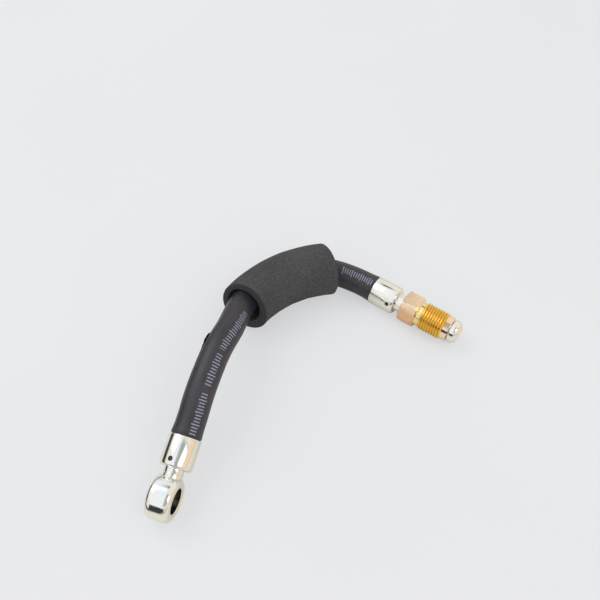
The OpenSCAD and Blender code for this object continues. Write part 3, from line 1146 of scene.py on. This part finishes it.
platedPieces = [
    # piece, its material's name and plating, its own axis, mm between turning marks, treatment
    (banjoEye, "eyeZinc", "zinc", rotation(90, "Y"), 0.25, shadedBore),
    (banjoTail, "banjoNeckZinc", "zinc", alongBanjo(0), 0.12, None),
    (ferruleBanjo, "banjoFerruleZinc", "ferrule", alongBanjo(0), 0.18, None),
    (ferruleUnion, "unionFerruleZinc", "ferrule", alongUnion(0), 0.18, None),
    (unionTail, "unionNeckZinc", "zinc", alongUnion(0), 0.12, None),
    (unionNut, "nutYellowZinc", "yellow", alongUnion(nutSet["at"]), 0.12, filmAndPaintedShade),
]
for piece, *finish in platedPieces:
    paint(piece, platedMetal(*finish))
paint(hoseCover, rubberMaterial())
paint(hoseTape, tapeMaterial())
paint(foamSleeve, foamMaterial())
innerRubber = innerRubberMaterial()
textileBraid = braidMaterial()
for node, material in (("hose_liner", innerRubber), ("hose_inner_braid", textileBraid),
                       ("hose_tie_layer", innerRubber), ("hose_outer_braid", textileBraid)):
    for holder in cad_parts[node].material_slots:
        holder.material = material
print("materials set")


# floor, world and lamps: a white table under a long white panel, in a dim room with warm walls
studioSet = {
    "floor": (0.815, 0.823, 0.839),
    "floorSize": 6,                     # m
    "floorClouds": 6,                   # how fine its faint clouds are
    "floorGlow": 0.62,                  # share of the floor's colour that doesn't depend on the light
    "mirroredFloor": (0.80, 0.78, 0.69),
    "panel": (0.95, 0.97, 1.0),
    "panelEdge": (0.14, 0.13, 0.13),
    "wall": (0.90, 0.86, 0.77),
    "wallFoot": (0.62, 0.55, 0.46),
    "warmWall": (0.95, 0.72, 0.50),
    "dusk": (0.04, 0.035, 0.045),
    "grey": (0.40, 0.43, 0.41),         # whoever stands over the table
    "tableMiddle": (0.06, 0.085),       # m
    "tableReach": (0.16, 0.21),         # mirrors see the table only as far as this
    "duskFrom": (0, -0.04),             # and beyond it, the dark side of the room to the left of this
    "heights": [(0, "wallFoot"), (0.10, "wallFoot"), (0.45, "wall")],
    # what else mirrors see, each over the one before: a colour, and the values between which it sets in
    "patches": [
        ("warmWall", ("X", 0.72, 0.86), ("Z", 0.62, 0.5)),
        ("panel", ("X", -0.70, -0.68), ("X", 0.05, -0.03), ("Z", 0.34, 0.38)),
        # the panel lacks its right back and left front corners, and a dark frame shows beside it
        ("wall", ("X", -0.27, -0.25), ("Y", 0.55, 0.57)),
        ("wall", ("X", -0.38, -0.44), ("Y", -0.58, -0.68)),
        ("panelEdge", ("X", -0.27, -0.25), ("X", -0.01, -0.05), ("Y", 0.54, 0.57), ("Y", 0.78, 0.70)),
        ("dusk", ("X", -0.88, -0.92), ("Z", 0.34, 0.26)),
        ("grey", ("X", 0, 0.1), ("X", 0.86, 0.76), ("Y", 0.16, 0.08), ("Z", 0.5, 0.6)),
        ("dusk", ("X", -0.42, -0.36), ("X", 0.3, 0.2), ("Y", -0.4, -0.5), ("Z", 0.40, 0.36)),
    ],
    "sky": (0.99, 0.99, 1.0),
    "skyStrength": 0.84,
    "lampAim": (0.06, 0.07, 0),
    "lamps": [
        # place in m, size in m, watts
        ((-0.55, 0.25, 0.75), 0.55, 1.6),
        ((0.65, -0.15, 0.70), 0.45, 0.9),
    ],
}


def makeFloor():
    s = studioSet
    bottom = cadBox[0][2]
    bpy.ops.object.select_all(action="DESELECT")
    bpy.ops.mesh.primitive_plane_add(size=s["floorSize"], location=(0, 0, bottom))
    floor = bpy.context.active_object
    floor.name = "floor"
    bpy.ops.object.transform_apply(location=True, rotation=True, scale=True)
    made, tree, bsdf = newMaterial("floorPaper")
    vector = objectPlace(tree)
    shaded = tuple(c * 0.985 for c in s["floor"])
    tone = ramp(tree, cloud(tree, vector, s["floorClouds"], 2), [(0.35, shaded), (0.65, s["floor"])])
    beyond = fade(tree, compare(tree, "DISTANCE", vector, (*s["tableMiddle"], bottom)), *s["tableReach"])
    left = fade(tree, split(tree, vector)["X"], *s["duskFrom"])
    mirrored = blend(tree, beyond, s["mirroredFloor"], blend(tree, left, s["wallFoot"], s["dusk"]))
    rays = addNode(tree, "LightPath").outputs
    feed(tree, bsdf, {
        "Base Color": blend(tree, rays["Is Glossy Ray"], tone, mirrored),
        "Roughness": 0.9,
        "Specular IOR Level": 0,
    })
    # the camera sees part of the colour as it is, so that shadows stay faint
    glow = addNode(tree, "Emission", {"Color": tone, "Strength": 1})
    share = times(tree, rays["Is Camera Ray"], s["floorGlow"])
    mixed = addNode(tree, "MixShader", {"Fac": share, 1: bsdf.outputs[0], 2: glow.outputs[0]})
    feed(tree, tree.nodes["Material Output"], {"Surface": mixed.outputs[0]})
    paint(floor, made)


def makeWorld():
    s = studioSet
    world = bpy.data.worlds.new("studio")
    world.use_nodes = True
    bpy.context.scene.world = world
    tree = world.node_tree
    tree.nodes.clear()
    way = split(tree, addNode(tree, "TexCoord").outputs["Generated"])
    room = ramp(tree, way["Z"], [(height, s[colour]) for height, colour in s["heights"]])
    for colour, *borders in s["patches"]:
        area = times(tree, *[fade(tree, way[axis], start, end) for axis, start, end in borders])
        room = blend(tree, area, room, s[colour])
    rays = addNode(tree, "LightPath").outputs
    mirrored = addNode(tree, "Background", {"Color": room, "Strength": 1}).outputs[0]
    even = addNode(tree, "Background", {"Color": (*s["sky"], 1), "Strength": s["skyStrength"]}).outputs[0]
    seen = addNode(tree, "Background", {"Color": (*s["floor"], 1), "Strength": 1}).outputs[0]
    shiny = addNode(tree, "MixShader", {"Fac": rays["Is Glossy Ray"], 1: even, 2: mirrored}).outputs[0]
    mixed = addNode(tree, "MixShader", {"Fac": rays["Is Camera Ray"], 1: shiny, 2: seen}).outputs[0]
    addNode(tree, "OutputWorld", {"Surface": mixed})


def makeLamps():
    middle = Vector(studioSet["lampAim"])
    for number, (place, size, watts) in enumerate(studioSet["lamps"]):
        data = bpy.data.lights.new("softbox%d" % number, "AREA")
        data.shape = "SQUARE"
        data.size = size
        data.energy = watts
        lamp = newObject(data.name, data)
        lamp.location = place
        lamp.rotation_euler = (middle - Vector(place)).to_track_quat("-Z", "Y").to_euler()


makeFloor()
makeWorld()
makeLamps()
bpy.context.scene.view_settings.view_transform = "Standard"
print("studio set")
